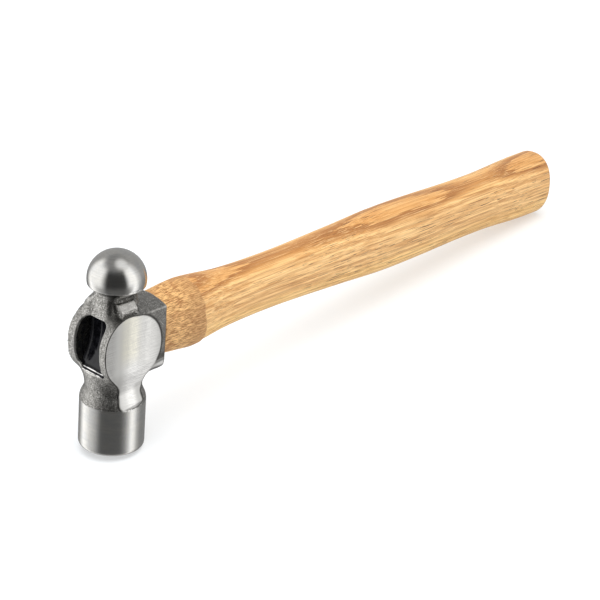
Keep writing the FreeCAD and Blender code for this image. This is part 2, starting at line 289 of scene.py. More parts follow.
def maths(tree, operation, first, second=0.0, third=0.0):
    return add(tree, "ShaderNodeMath", {0: first, 1: second, 2: third}, operation=operation).outputs[0]


def product(tree, first, *others):
    for other in others:
        first = maths(tree, "MULTIPLY", first, other)
    return first


def blend(tree, share, first, second, mode="MIX"):
    """The first colour where the share is 0, and the second, or both in the given mode, where it is 1."""
    made = tree.nodes.new("ShaderNodeMix")
    made.data_type = "RGBA"
    made.blend_type = mode
    for key, value in (("Factor_Float", share), ("A_Color", first), ("B_Color", second)):
        socket = next(s for s in made.inputs if s.identifier == key)
        if isinstance(value, bpy.types.NodeSocket):
            tree.links.new(value, socket)
        elif key == "Factor_Float":
            socket.default_value = value
        else:
            socket.default_value = (*value, 1.0)
    return next(s for s in made.outputs if s.identifier == "Result_Color")


def bump(tree, height, strength, distance, below=None):
    inputs = {"Height": height, "Strength": strength, "Distance": distance}
    if below is not None:
        inputs["Normal"] = below
    return add(tree, "ShaderNodeBump", inputs).outputs[0]


def parts_of(tree, vector):
    return add(tree, "ShaderNodeSeparateXYZ", {0: vector}).outputs


def bands_along(tree, share, bands):
    """A grey that changes smoothly from band to band as the share runs from 0 to 1."""
    ramp = add(tree, "ShaderNodeValToRGB", {"Fac": share})
    stops = ramp.color_ramp.elements
    ramp.color_ramp.interpolation = "EASE"
    while len(stops) < len(bands):
        stops.new(0.5)
    for stop, (where, bright) in zip(stops, bands):
        stop.position = where
        stop.color = (bright, bright, bright, 1.0)
    return ramp.outputs[0]


def principled(tree):
    return tree.nodes["Principled BSDF"]


def feed(tree, **sockets):
    """Fills the Principled shader's sockets, named with _ for a space, with values or other sockets."""
    shader = principled(tree)
    for name, value in sockets.items():
        socket = shader.inputs[name.replace("_", " ")]
        if isinstance(value, bpy.types.NodeSocket):
            tree.links.new(value, socket)
        else:
            socket.default_value = value


# ---------------------------------------------------------------- head


HEAD_VOXEL = 0.42

# How far the head's fillets and rounded edges reach, in millimetres
FACE_EDGE = 1.6 * FACE_BEVEL
POLL_FILLET = 3.8
PEEN_NECK_FILLET = 2.4
PEEN_NECK_EDGE = 2.0
PEEN_HOLLOW_EDGE = 3.0
BLOCK_FILLET = 1.2
BLOCK_EDGE = 0.8
BALL_EDGE = 0.9
EYE_EDGE = 1.3
PAD_EDGE = 0.5
NEAR_PAD_END, FAR_PAD_END = 0.6, 3.0
NEAR_PAD_FILLET, FAR_PAD_FILLET = 1.2, 4.0

# On the far side of the peen's neck the pad runs on towards the front, and the hollow ends behind it.
FAR_PAD_FRONT_X = -11.1
FAR_HOLLOW_FRONT_X = -2.0

# Points this near the border of a ground surface are moved onto it.
BORDER_REACH = 0.17
# The eye is coated this deep inside its edge.
COATING_DEPTH = 0.9
# Nothing is ground above this height.
GROUND_LIMIT_Z = 75.0
# Above this height the lathe's marks follow the ball, below it the poll.
BALL_SIDE_Z = 60.0
# Stand-ins for the distance to a surface that ends elsewhere
WELL_INSIDE = 9.0
WELL_OUTSIDE = 5.0


def soft_union(first, second, reach):
    """The nearer of two solids' distances, with a fillet of about the given reach where they meet."""
    share = np.clip(0.5 + 0.5 * (second - first) / reach, 0, 1)
    return second * (1 - share) + first * share - reach * share * (1 - share)


def soft_overlap(first, second, reach):
    return -soft_union(-first, -second, reach)


def rise(value, low, high):
    """A cosine rise from 0 at low to 1 at high."""
    return 0.5 - 0.5 * np.cos(np.pi * np.clip((value - low) / (high - low), 0, 1))


def poll_field(x, y, z):
    """The poll and the neck above it, as a turned profile with a rounded face."""
    waist = rise(z, POLL_TOP, NECK_WAIST_Z) * (FACE_RADIUS - NECK_WAIST_RADIUS)
    flare = np.clip((z - NECK_WAIST_Z) / (NECK_TOP_Z - NECK_WAIST_Z), 0, 1)
    radius = FACE_RADIUS - waist + flare**1.5 * (NECK_TOP_RADIUS - NECK_WAIST_RADIUS)
    side = np.hypot(x, y) - radius
    bottom = soft_overlap(side, -z, FACE_EDGE)
    return np.maximum(bottom, z - CHEEK_Z)


def peen_neck_field(x, y, z):
    """The neck under the ball: wide at its foot, hollow on both sides, with a flared top."""
    down = 1 - np.clip((z - PEEN_NECK_FOOT_Z) / (PEEN_NECK_TOP_Z - PEEN_NECK_FOOT_Z), 0, 1)
    radius = PEEN_NECK_RADIUS + down**2.2 * (PEEN_NECK_FOOT_RADIUS - PEEN_NECK_RADIUS)
    radius = radius + 1.5 * np.clip(z - PEEN_NECK_TOP_Z, 0, None)
    side = soft_overlap(np.hypot(x, y) - radius, -x - PEEN_NECK_FRONT, PEEN_NECK_EDGE)
    hollow = PEEN_HOLLOW_RADIUS - np.hypot(np.abs(y) - PEEN_HOLLOW[0], z - PEEN_HOLLOW[1])
    hollow = hollow - np.where(y > 0, np.clip(FAR_HOLLOW_FRONT_X - x, 0, None), 0.0)
    side = soft_overlap(side, hollow, PEEN_HOLLOW_EDGE)
    return np.maximum(np.maximum(side, z - BALL_LOW), CHEEK_Z - z)


def ball_field(x, y, z):
    reach = np.sqrt(x**2 + y**2 + (z - BALL_Z) ** 2) - BALL_RADIUS
    return soft_overlap(reach, BALL_RIM_Z - z, BALL_EDGE)


def block_field(x, y, z):
    """The square block behind the cheeks, with a crowned top and rounded lower corners."""
    crown = BLOCK_SHOULDER_Z + (BLOCK_CROWN_Z - BLOCK_SHOULDER_Z) * (1 - (y / BLOCK_HALF_WIDTH) ** 2)
    corner_y = np.abs(y) - (BLOCK_HALF_WIDTH - BLOCK_CORNER)
    corner_z = BLOCK_BOTTOM_Z + BLOCK_CORNER - z
    round_low = np.hypot(np.clip(corner_y, 0, None), np.clip(corner_z, 0, None)) - BLOCK_CORNER
    sides = np.where((corner_y > 0) & (corner_z > 0), round_low,
                     np.maximum(corner_y, corner_z) - BLOCK_CORNER)
    heel_x, heel_z = x - (BLOCK_BACK_X - BLOCK_HEEL), BLOCK_BOTTOM_Z + BLOCK_HEEL - z
    heel = np.hypot(np.clip(heel_x, 0, None), np.clip(heel_z, 0, None)) - BLOCK_HEEL
    body = soft_overlap(soft_overlap(sides, z - crown, BLOCK_EDGE), heel, BLOCK_EDGE)
    return soft_overlap(body, np.maximum(x - BLOCK_BACK_X, BLOCK_FRONT_X - x), BLOCK_EDGE)


def pad_field(x, y, z):
    """The trimmed flash pads on both sides of the peen's neck."""
    out = np.abs(y)
    slope = np.array((PAD_TOP_Z - PAD_EDGE_Z, PAD_EDGE_Y - PAD_TOP_Y))
    slope = slope / np.linalg.norm(slope)
    slant = (out - PAD_TOP_Y) * slope[0] + (z - PAD_TOP_Z) * slope[1]
    front = PAD_FRONT_X + (FAR_PAD_FRONT_X - PAD_FRONT_X) * smooth_step(y, 0.5, 7.5)
    ends = np.maximum(x - PAD_BACK_X, front - x)
    shape = soft_overlap(slant, out - PAD_EDGE_Y, PAD_EDGE)
    shape = soft_overlap(shape, z - PAD_TOP_Z, PAD_EDGE)
    shape = soft_overlap(shape, ends, np.where(y < 0, NEAR_PAD_END, FAR_PAD_END))
    return np.maximum(shape, PAD_LOW_Z - z)


def eye_field(x, y, z):
    """The eye: a rectangle with round corners that narrows to a waist."""
    stations = [EYE_FRONT[0], EYE_WAIST[0], BLOCK_BACK_X]
    half_y = np.interp(x, stations, [EYE_FRONT[1], EYE_WAIST[1], EYE_BACK[1]])
    half_z = np.interp(x, stations, [EYE_FRONT[2], EYE_WAIST[2], EYE_BACK[2]])
    over_y = np.abs(y) - half_y + EYE_CORNER
    over_z = np.abs(z - EYE_Z) - half_z + EYE_CORNER
    outside = np.hypot(np.clip(over_y, 0, None), np.clip(over_z, 0, None))
    return outside + np.minimum(np.maximum(over_y, over_z), 0) - EYE_CORNER


def lip_field(x, y, z):
    """The space in front of the bevel on the eye's lower lip."""
    along = np.array(LIP_HIGH) - np.array(LIP_LOW)
    along = along / np.linalg.norm(along)
    front = (x - LIP_LOW[0]) * along[1] - (z - LIP_LOW[1]) * along[0]
    sides = np.abs(y - (LIP_LEFT_Y + LIP_RIGHT_Y) / 2) - (LIP_LEFT_Y - LIP_RIGHT_Y) / 2
    return np.maximum(np.maximum(front, sides), np.maximum(LIP_LOW[1] - z, z - LIP_HIGH[1] - 1.0))


def blank_field(x, y, z):
    """The forging before its cheeks are ground and its eye is cut."""
    brow = np.hypot(x - BROW_CENTRE[0], z - BROW_CENTRE[1]) - BROW_RADIUS
    boss = np.minimum(np.hypot(x, z - CHEEK_Z) - CHEEK_RADIUS, brow)
    boss = np.maximum(boss, np.abs(y) - CHEEK_Y - 1.0)
    blank = soft_union(boss, poll_field(x, y, z), POLL_FILLET)
    blank = soft_union(blank, peen_neck_field(x, y, z), PEEN_NECK_FILLET)
    blank = soft_union(blank, block_field(x, y, z), BLOCK_FILLET)
    return soft_union(blank, pad_field(x, y, z), np.where(y < 0, NEAR_PAD_FILLET, FAR_PAD_FILLET))


def ground_field(x, y, z):
    """Distance outside the ground surfaces: flat cheeks, with a hollow from each down to the poll."""
    along = (z - GROUND_NECK_Z) * math.cos(GROUND_TILT) - x * math.sin(GROUND_TILT)
    upper = smooth_step(along, 0.0, GROUND_UPPER_Z - GROUND_NECK_Z)
    lower = np.clip((1.0 - along) / (1.0 + GROUND_NECK_Z - GROUND_END_Z), 0, 1.1) ** 1.2
    step = smooth_step(along, GROUND_END_Z - GROUND_NECK_Z, GROUND_STEP_Z - GROUND_NECK_Z)
    hollow = GROUND_NECK_Y + upper * (CHEEK_Y - GROUND_NECK_Y) + lower * (GROUND_END_Y - GROUND_NECK_Y)
    inside = np.abs(y) - hollow - step * (GROUND_STEP_Y - GROUND_END_Y)
    below = along < GROUND_STEP_Z - GROUND_NECK_Z - 0.3
    return np.where(below, -WELL_INSIDE, inside / (1.0 + 1.2 * (step > 0)))


def solid_field(x, y, z):
    """The ground forging with its turned ball, before the eye is cut."""
    body = np.maximum(blank_field(x, y, z), ground_field(x, y, z))
    return np.minimum(body, ball_field(x, y, z))


def head_field(x, y, z):
    body = np.maximum(solid_field(x, y, z), -lip_field(x, y, z))
    return soft_overlap(body, -eye_field(x, y, z), EYE_EDGE)


def onto(field, points, rounds, step=0.02):
    """Moves points along a field's slope until they lie on its surface."""
    for _ in range(rounds):
        value = field(*points.T)
        slope = np.column_stack([
            field(*(points + offset).T) - value for offset in np.eye(3) * step
        ]) / step
        steep = np.clip((slope**2).sum(axis=1), 0.25, None)
        points = points - np.clip(value / steep, -0.6, 0.6)[:, None] * slope
    return points


def head_mesh():
    """An even mesh laid on the head's field, with the ground surfaces' borders drawn sharp."""
    mesh = remeshed("hammer_head", HEAD_VOXEL)
    points = to_upright(coordinates(mesh))
    edges = edges_of(mesh)
    free = np.ones(len(points))
    points = onto(head_field, points, 6)
    for _ in range(3):
        points = onto(head_field, relaxed(points, edges, free, 2), 2)
    at_border = np.abs(ground_field(*points.T) - blank_field(*points.T)) < BORDER_REACH
    for _ in range(3):
        points[at_border] = onto(blank_field, onto(ground_field, points[at_border], 1), 1)
    place(mesh, points)
    borders = head_borders(points)
    rough = smooth_step(-np.max(list(borders.values()), axis=0), 0.0, 0.5)
    rough = np.maximum(rough, 0.3 * smooth_step(borders["coated"], 0.0, 1.0))
    facing = normals(mesh)
    cavity = ((relaxed(points, edges, free, 24) - points) * facing).sum(axis=1)
    keep_value(mesh, "cavity", cavity)
    keep_value(mesh, "sheared", sheared(points))
    points = points + facing * (rough * forging_grain(points))[:, None]
    place(mesh, points)
    describe_head(mesh, points, borders)
    return mesh


def head_borders(points):
    """How far each point lies inside each kind of surface, negative outside it."""
    x, y, z = points.T
    blank, ground = blank_field(x, y, z), ground_field(x, y, z)
    ground_in = np.where(z < GROUND_LIMIT_Z, ground - blank, -WELL_OUTSIDE)
    turned_in = np.where(z < CHEEK_Z, POLL_TOP - z, z - BALL_LOW)
    turned_in = np.minimum(turned_in, np.where(ground_in > -2, -ground_in, WELL_OUTSIDE))
    coated_in = -eye_field(x, y, z) - solid_field(x, y, z) - COATING_DEPTH
    coated_in = np.where(x > BLOCK_BACK_X - 0.5, -WELL_OUTSIDE, coated_in)
    return {"turned": turned_in, "ground": ground_in, "coated": coated_in}


def sheared(points):
    """1 on the pads' slanted faces, where the flash was cut off, -1 on their scaly tops, 0 elsewhere."""
    x, y, z = points.T
    out = np.abs(y)
    along = smooth_step(x, PAD_FRONT_X, PAD_FRONT_X + 0.6) * smooth_step(-x, -PAD_BACK_X, 0.8 - PAD_BACK_X)
    slant = smooth_step(out, PAD_TOP_Y - 0.6, PAD_TOP_Y)
    slant = slant * smooth_step(z, PAD_EDGE_Z - 0.3, PAD_EDGE_Z + 0.3)
    top = smooth_step(PAD_TOP_Y - out, 0.0, 0.5) * smooth_step(z, PAD_TOP_Z - 0.6, PAD_TOP_Z - 0.1)
    return along * (slant - top * (z < PAD_TOP_Z + 0.6) - slant * top)


def forging_grain(points):
    """Scale and hammer marks of the forging, in millimetres out from the surface."""
    waves = 0.09 * noise(points, (6.0, 6.0, 6.0), 11) + 0.05 * noise(points, (2.6, 2.6, 2.6), 12)
    pits = noise(points, (1.1, 1.1, 1.1), 13)
    return waves + 0.03 * pits - 0.06 * smooth_step(pits, 0.4, 0.9)


def describe_head(mesh, points, borders):
    """Keeps what the materials need: places, borders, and the way each surface was cut."""
    keep_vector(mesh, "place", points)
    for name, inside in borders.items():
        keep_value(mesh, name, inside)
    angle = np.arctan2(points[:, 1], points[:, 0])
    in_ball = points[:, 2] > BALL_SIDE_Z
    latitude = np.arctan2(points[:, 2] - BALL_Z, np.hypot(points[:, 0], points[:, 1]))
    profile = np.where(in_ball, latitude * BALL_RADIUS, points[:, 2])
    keep_vector(mesh, "lathe", np.column_stack((np.cos(angle), np.sin(angle), profile)))
    tilt = np.where(in_ball, latitude, 0.0)
    meridian = np.column_stack((-np.sin(tilt) * np.cos(angle), -np.sin(tilt) * np.sin(angle), np.cos(tilt)))
    keep_vector(mesh, "brush", meridian @ UPRIGHT_AXES)
    inside = np.column_stack([np.zeros(len(points)), *borders.values()])
    sizes = np.zeros(len(mesh.polygons), np.int64)
    mesh.polygons.foreach_get("loop_total", sizes)
    corners = np.zeros(len(mesh.loops), np.int64)
    mesh.loops.foreach_get("vertex_index", corners)
    starts = np.concatenate(([0], np.cumsum(sizes)[:-1]))
    votes = np.add.reduceat(inside[corners], starts, axis=0)
    mesh.polygons.foreach_set("material_index", np.argmax(votes, axis=1).astype(np.int32))


# Colours of the forging, with painted shade in its hollows and along the ground border, and painted
# highlights on its edges
SCALE_DARK = (0.25, 0.245, 0.23)
SCALE_LIGHT = (0.37, 0.36, 0.34)
SCALE_STROKE = (0.20, 0.195, 0.185)
SCALE_PIT = (0.09, 0.088, 0.08)
CAVITY_SHADE = (0.055, 0.053, 0.048)
NEAR_HOLLOW_SHADE = (0.075, 0.073, 0.066)
PAD_TOP_TONE = (0.08, 0.078, 0.07)
FORGED_BORDER_SHADE = (0.05, 0.048, 0.045)
EDGE_HIGHLIGHT = (0.80, 0.79, 0.75)
SPARKLE = (0.80, 0.79, 0.76)
SHEARED_FACE = (0.92, 0.90, 0.86)


def forged_steel():
    material, tree = new_material("forged_steel")
    spot = attribute(tree, "place", "Vector")
    cavity = attribute(tree, "cavity")
    fine = grain(tree, spot, scale=1.8, detail=3.0, roughness=0.65)
    coarse = grain(tree, spot, scale=0.6, detail=3.0, roughness=0.6)
    strokes = grain(tree, scaled(tree, spot, (0.55, 1.3, 0.45)), detail=3.0, distortion=1.2)
    along, across, up = parts_of(tree, spot)
    scaly = remap(tree, along, 7.0, 3.0, 0.30, 1.0)
    tone = blend(tree, remap(tree, coarse, 0.35, 0.65), SCALE_DARK, SCALE_LIGHT)
    tone = blend(tree, remap(tree, strokes, 0.54, 0.66, 0.0, 0.35), tone, SCALE_STROKE)
    tone = blend(tree, product(tree, remap(tree, fine, 0.50, 0.36, 0.0, 0.85), scaly), tone, SCALE_PIT)
    # Painted shade: concave places are darkened.
    tone = blend(tree, remap(tree, cavity, 0.02, 0.20, 0.0, 0.88), tone, CAVITY_SHADE)
    # Painted highlight: convex edges are lightened.
    tone = blend(tree, remap(tree, cavity, -0.10, -0.40, 0.0, 0.55), tone, EDGE_HIGHLIGHT)
    cut = attribute(tree, "sheared")
    tone = blend(tree, remap(tree, cut, 0.0, 1.0, 0.0, 0.40), tone, SHEARED_FACE)
    tone = blend(tree, remap(tree, fine, 0.56, 0.67), tone, SPARKLE)
    tone = blend(tree, remap(tree, cut, 0.0, -0.8, 0.0, 0.8), tone, PAD_TOP_TONE)
    # Painted shade: the hollow in front of the near pad is darkened, on that side only.
    before_pad_shade = product(tree, remap(tree, across, -3.0, -6.5), remap(tree, along, -5.9, -7.4))
    before_pad_shade = product(tree, before_pad_shade, remap(tree, up, 66.5, 71.0, 0.0, 0.72))
    tone = blend(tree, before_pad_shade, tone, NEAR_HOLLOW_SHADE)
    # Painted shade: a thin dark line on the forging along the ground surfaces' border.
    from_border = maths(tree, "ABSOLUTE", attribute(tree, "ground"))
    tone = blend(tree, remap(tree, from_border, 0.25, 0.65, 0.85, 0.0), tone, FORGED_BORDER_SHADE)
    rough = remap(tree, fine, 0.3, 0.7, 0.46, 0.31)
    normal = bump(tree, coarse, product(tree, scaly, 0.45), 0.0004)
    normal = bump(tree, fine, product(tree, scaly, 0.85), 0.0002, normal)
    feed(tree, Base_Color=tone, Metallic=1.0, Roughness=rough, Normal=normal)
    return material


# Colours of the turned steel and of the lathe's marks
TURNED_BASE = (0.60, 0.595, 0.575)
TURNED_RING = (0.40, 0.395, 0.38)
TURNED_FINE_RING = (0.38, 0.375, 0.36)
TURNED_FLECK = (0.36, 0.355, 0.34)
# What the base colour is multiplied by in warmer and in cooler places
WARMER = (1.03, 1.02, 1.0)
COOLER = (0.96, 0.965, 0.975)


def turned_steel():
    material, tree = new_material("turned_steel")
    lathe = attribute(tree, "lathe", "Vector")
    spot = attribute(tree, "place", "Vector")
    rings = grain(tree, scaled(tree, lathe, (0.25, 0.25, 2.2)), detail=4.0, roughness=0.6)
    fine_rings = grain(tree, scaled(tree, lathe, (1.2, 1.2, 9.0)), detail=3.0)
    fleck = grain(tree, spot, scale=1.6, detail=3.0, roughness=0.6)
    cloud = grain(tree, spot, scale=0.22, detail=3.0)
    warm = tuple(np.multiply(TURNED_BASE, WARMER))
    cool = tuple(np.multiply(TURNED_BASE, COOLER))
    tone = blend(tree, remap(tree, cloud, 0.35, 0.65), cool, warm)
    tone = blend(tree, remap(tree, rings, 0.35, 0.65, 0.0, 0.16), tone, TURNED_RING)
    tone = blend(tree, remap(tree, fine_rings, 0.40, 0.62, 0.0, 0.22), tone, TURNED_FINE_RING)
    tone = blend(tree, remap(tree, fleck, 0.50, 0.72, 0.0, 0.14), tone, TURNED_FLECK)
    up = parts_of(tree, spot)[2]
    rough = remap(tree, up, CHEEK_Z, BALL_RIM_Z, 0.27, 0.20)
    normal = bump(tree, rings, 0.05, 0.0001)
    normal = bump(tree, fine_rings, 0.10, 0.00005, normal)
    feed(tree, Base_Color=tone, Metallic=1.0, Roughness=rough, Normal=normal)
    feed(tree, Anisotropic=0.6, Tangent=attribute(tree, "brush", "Vector"))
    return material


# Painted highlight and shade bands: brightness of the ground steel along x, between two places in front of
# and behind the cheeks:
# (share of the way, brightness)
GROUND_SHEEN_ENDS = (-20.0, 20.0)
GROUND_SHEEN_BANDS = (
    (0.02, 0.25), (0.15, 0.29), (0.28, 0.42), (0.39, 0.58), (0.47, 0.78), (0.53, 0.82), (0.60, 0.70),
    (0.66, 0.70), (0.725, 0.79), (0.80, 0.72), (0.92, 0.55),
)
# Colours of the ground steel, of its painted warm sheen, of the painted highlight in its hollow above the
# poll, of the painted shade on its far edge, of the wheel's marks and of the painted shade at its border
GROUND_TINT = (1.0, 0.99, 0.96)
GROUND_WARM_SHEEN = (1.0, 0.98, 0.88)
HOLLOW_PAINTED_HIGHLIGHT = (0.99, 0.98, 0.96)
FAR_EDGE_SHADE = (0.30, 0.297, 0.285)
GROUND_CUT = (0.42, 0.415, 0.40)
GROUND_FLECK = (0.40, 0.395, 0.38)
GROUND_RIM_SHADE = (0.38, 0.375, 0.36)
GROUND_BORDER_SHADE = (0.12, 0.118, 0.11)
# The middle of the arcs that the grinding wheel left, along x and z
WHEEL_CENTRE = (16.0, 62.0)


def wheel_arcs(tree, along, up):
    """Fine lines that turn round the grinding wheel's centre."""
    out_x = maths(tree, "SUBTRACT", along, WHEEL_CENTRE[0])
    out_z = maths(tree, "SUBTRACT", up, WHEEL_CENTRE[1])
    squares = maths(tree, "ADD", maths(tree, "POWER", out_x, 2.0), maths(tree, "POWER", out_z, 2.0))
    reach = product(tree, maths(tree, "SQRT", squares), 2.4)
    turn = product(tree, maths(tree, "ARCTAN2", out_z, out_x), 1.6)
    turned = add(tree, "ShaderNodeCombineXYZ", {0: reach, 1: turn}).outputs[0]
    return grain(tree, turned, detail=4.0, roughness=0.65)


def ground_steel():
    material, tree = new_material("ground_steel")
    spot = attribute(tree, "place", "Vector")
    along, _, up = parts_of(tree, spot)
    streaks = grain(tree, scaled(tree, spot, (0.10, 0.6, 2.8)), detail=5.0, roughness=0.7)
    fleck = grain(tree, spot, scale=1.4, detail=3.0, roughness=0.6)
    # Painted highlight and shade: the ground steel's base colour rises and falls along x in set bands.
    tone = bands_along(tree, remap(tree, along, *GROUND_SHEEN_ENDS, smooth=False), GROUND_SHEEN_BANDS)
    tone = blend(tree, 1.0, tone, GROUND_TINT, "MULTIPLY")
    # Painted sheen: a warmer tint over the middle of each cheek.
    warm = product(tree, remap(tree, along, -11.0, -5.0), remap(tree, along, 6.0, 0.0))
    warm = product(tree, warm, remap(tree, up, 44.0, 54.0))
    tone = blend(tree, warm, tone, GROUND_WARM_SHEEN, "MULTIPLY")
    # Painted highlight: the hollow above the poll is lightened.
    hollow = product(tree, remap(tree, up, 48.0, 42.0, 0.0, 0.9), remap(tree, up, 32.0, 37.0))
    hollow = product(tree, hollow, remap(tree, along, -7.0, 1.0))
    tone = blend(tree, hollow, tone, HOLLOW_PAINTED_HIGHLIGHT)
    # Painted shade: the tongue's far edge, low down, is darkened.
    far_edge_shade = product(tree, remap(tree, up, 37.0, 33.0, 0.0, 0.7), remap(tree, along, 0.5, 4.5))
    tone = blend(tree, far_edge_shade, tone, FAR_EDGE_SHADE)
    arcs = product(tree, wheel_arcs(tree, along, up), 0.3)
    cuts = maths(tree, "ADD", product(tree, streaks, 0.7), arcs)
    tone = blend(tree, remap(tree, cuts, 0.56, 0.42, 0.0, 0.5), tone, GROUND_CUT)
    tone = blend(tree, remap(tree, fleck, 0.48, 0.70, 0.0, 0.2), tone, GROUND_FLECK)
    inside = attribute(tree, "ground")
    # Painted shade: the ground steel darkens over about its last millimetre towards its border.
    tone = blend(tree, remap(tree, inside, 1.3, 0.2, 0.0, 0.30), tone, GROUND_RIM_SHADE)
    # Painted shade: a thin dark line right at the ground steel's border.
    tone = blend(tree, remap(tree, inside, 0.4, 0.1, 0.0, 0.8), tone, GROUND_BORDER_SHADE)
    rough = remap(tree, cuts, 0.35, 0.65, 0.30, 0.40)
    normal = bump(tree, cuts, 0.35, 0.00015)
    feed(tree, Base_Color=tone, Metallic=1.0, Roughness=rough, Normal=normal)
    feed(tree, Anisotropic=0.6, Tangent=attribute(tree, "brush", "Vector"))
    return material


def eye_coating():
    material, tree = new_material("eye_coating")
    spot = attribute(tree, "place", "Vector")
    smear = grain(tree, scaled(tree, spot, (0.35, 0.9, 0.35)), detail=3.0)
    tone = blend(tree, remap(tree, smear, 0.4, 0.7), (0.006, 0.006, 0.007), (0.018, 0.017, 0.013))
    rough = remap(tree, smear, 0.3, 0.7, 0.10, 0.32)
    feed(tree, Base_Color=tone, Roughness=rough, Normal=bump(tree, smear, 0.4, 0.0008))
    return material


def make_head():
    materials = [forged_steel(), turned_steel(), ground_steel(), eye_coating()]
    new_piece("head", head_mesh(), "hammer_head", materials)


# ---------------------------------------------------------------- handle


AROUND = 220
SHAFT_STEP = 1.0
TENON_STEP = 2.2
CAP_RINGS = 14
# Rays towards the axis start this far out, and are turned a little, so that none runs along an edge.
RAY_START = 40.0
RAY_TURN = 0.003
BUTT_GAP = 0.03
SHOULDER_END = 47.4


def outline_at(tree, x, angles):
    """The handle's outer points across x, found from outside towards its axis."""
    ring = []
    for angle in angles:
        outward = Vector((0.0, math.cos(angle), math.sin(angle)))
        start = Vector((x, 0.0, HANDLE_Z)) + outward * RAY_START
        hit = tree.ray_cast(start, -outward)[0]
        ring.append((hit.x, hit.y, hit.z))
    return np.array(ring)


def handle_rings():
    """Rings of points from the tenon's front end, over the shoulder, along the shaft and round the butt."""
    cad_points, cad_faces = triangles("handle")
    wedge_points, wedge_faces = triangles("wooden_wedge")
    together = np.vstack((cad_points, wedge_points))
    tree = surface_tree(together, np.vstack((cad_faces, wedge_faces + len(cad_points))))
    angles = np.linspace(0, 2 * math.pi, AROUND, endpoint=False) + RAY_TURN
    butt = cad_points[:, 0].max() - BUTT_GAP
    tenon_x = np.arange(TENON_FRONT_X + 0.02, BLOCK_BACK_X - 0.3, TENON_STEP)
    shaft_x = np.arange(BLOCK_BACK_X + 0.05, butt - BUTT_ROUNDING, SHAFT_STEP)
    turn = np.linspace(0.05, 0.5 * math.pi, 8)
    round_x = butt - BUTT_ROUNDING * (1 - np.sin(turn))
    rings = [outline_at(tree, x, angles) for x in (*tenon_x, BLOCK_BACK_X - 0.1, *shaft_x, *round_x)]
    middle = np.array((0.0, 0.0, HANDLE_Z))
    caps = []
    for ring in (rings[0], rings[-1]):
        centre = middle + (ring[:, 0].mean(), 0, 0)
        shares = np.linspace(0, 1, CAP_RINGS, endpoint=False)[1:]
        caps.append([centre + (ring - centre) * share for share in shares])
    front, back = caps
    return front + rings + back[::-1]


def skin(count):
    """Faces over count rings, closed at both ends by a point that follows the rings' own."""
    faces = []
    for ring in range(count - 1):
        low, high = ring * AROUND, (ring + 1) * AROUND
        for step in range(AROUND):
            after = (step + 1) % AROUND
            faces.append((low + step, low + after, high + after, high + step))
    last_ring, first, last = (count - 1) * AROUND, count * AROUND, count * AROUND + 1
    for step in range(AROUND):
        after = (step + 1) % AROUND
        faces.append((first, after, step))
        faces.append((last, last_ring + step, last_ring + after))
    return faces


def handle_mesh():
    rings = handle_rings()
    ends = rings[0].mean(axis=0), rings[-1].mean(axis=0)
    points = np.vstack((*rings, *ends))
    mesh = bpy.data.meshes.new("handle_visual")
    mesh.from_pydata(from_upright(points).tolist(), [], skin(len(rings)))
    mesh.update()
    ring_phase = growth_rings(points)
    rasped = shoulder(points)
    place(mesh, points)
    depth = wood_relief(points, rasped)
    shown = smooth_step(points[:, 0], BLOCK_BACK_X - 0.2, BLOCK_BACK_X + 1.5)
    points = points + normals(mesh) * (depth * shown)[:, None]
    place(mesh, points)
    keep_vector(mesh, "place", points - (0, 0, HANDLE_Z))
    keep_value(mesh, "rings", ring_phase)
    keep_value(mesh, "rasped", rasped)
    return mesh


# Where the tree's pith passes the handle's axis at x = 0, in y and z, and its slant along the handle
PITH = (5.0, -34.0)
PITH_DRIFT = (0.022, 0.016)
RING_WIDTH = 2.7
# The heartwood starts after this many rings, as they are counted here.
HEART_PHASE = 17.3


def growth_rings(points):
    """How many growth rings lie between each point and the tree's pith, beside the handle at a slant."""
    x, y, z = points[:, 0], points[:, 1], points[:, 2] - HANDLE_Z
    wander = 1.6 * noise(points, (95.0, 30.0, 30.0), 21) + 0.35 * noise(points, (40.0, 8.0, 8.0), 22)
    across = y - PITH[0] - PITH_DRIFT[0] * x
    up = z - PITH[1] - PITH_DRIFT[1] * x
    return (np.hypot(across, up) + wander) / RING_WIDTH


def shoulder(points):
    """1 on the rasped shoulder next to the head, 0 on the smooth shaft."""
    angle = np.arctan2(points[:, 2] - HANDLE_Z, points[:, 1])
    end = SHOULDER_END - 2.0 * np.sin(angle) + 1.0 * noise(points, (4.0, 4.0, 4.0), 31)
    return smooth_step(end - points[:, 0], -0.5, 0.5)


def wood_relief(points, rasped):
    """Height of the wood's surface over its plain shape, in millimetres."""
    wave = 0.07 * noise(points, (24.0, 10.0, 10.0), 51) - 0.02
    fibres = noise(points, (6.0, 0.9, 0.9), 52) + 0.3 * noise(points, (2.5, 0.8, 0.8), 53)
    low_side = 0.5 - 0.5 * np.sin(np.arctan2(points[:, 2] - HANDLE_Z, points[:, 1]))
    swell = smooth_step(points[:, 0], 34.0, 46.0) * (0.2 + 0.5 * low_side)
    rasping = -0.14 + 0.06 * fibres + swell
    return wave * (1 - rasped) + rasping * rasped


# Colours of the lacquered oak, of the painted light on its underside, and of its torn fibres on the
# shoulder
OAK_DARK = (0.69, 0.36, 0.12)
OAK_LIGHT = (0.94, 0.595, 0.25)
HEARTWOOD = (0.60, 0.275, 0.078)
UNDERSIDE_LIGHT_GAIN = (1.12, 1.17, 1.08)
LATE_WOOD = (0.30, 0.105, 0.024)
FIBRE_DARK = (0.28, 0.10, 0.022)
FIBRE_LIGHT = (1.0, 0.74, 0.38)
OPEN_PORE = (0.08, 0.028, 0.009)
TORN_LIGHT = (0.96, 0.59, 0.25)
TORN_DARK = (0.28, 0.11, 0.03)
TORN_SPOT = (0.32, 0.11, 0.03)
TORN_END = (0.34, 0.16, 0.06)


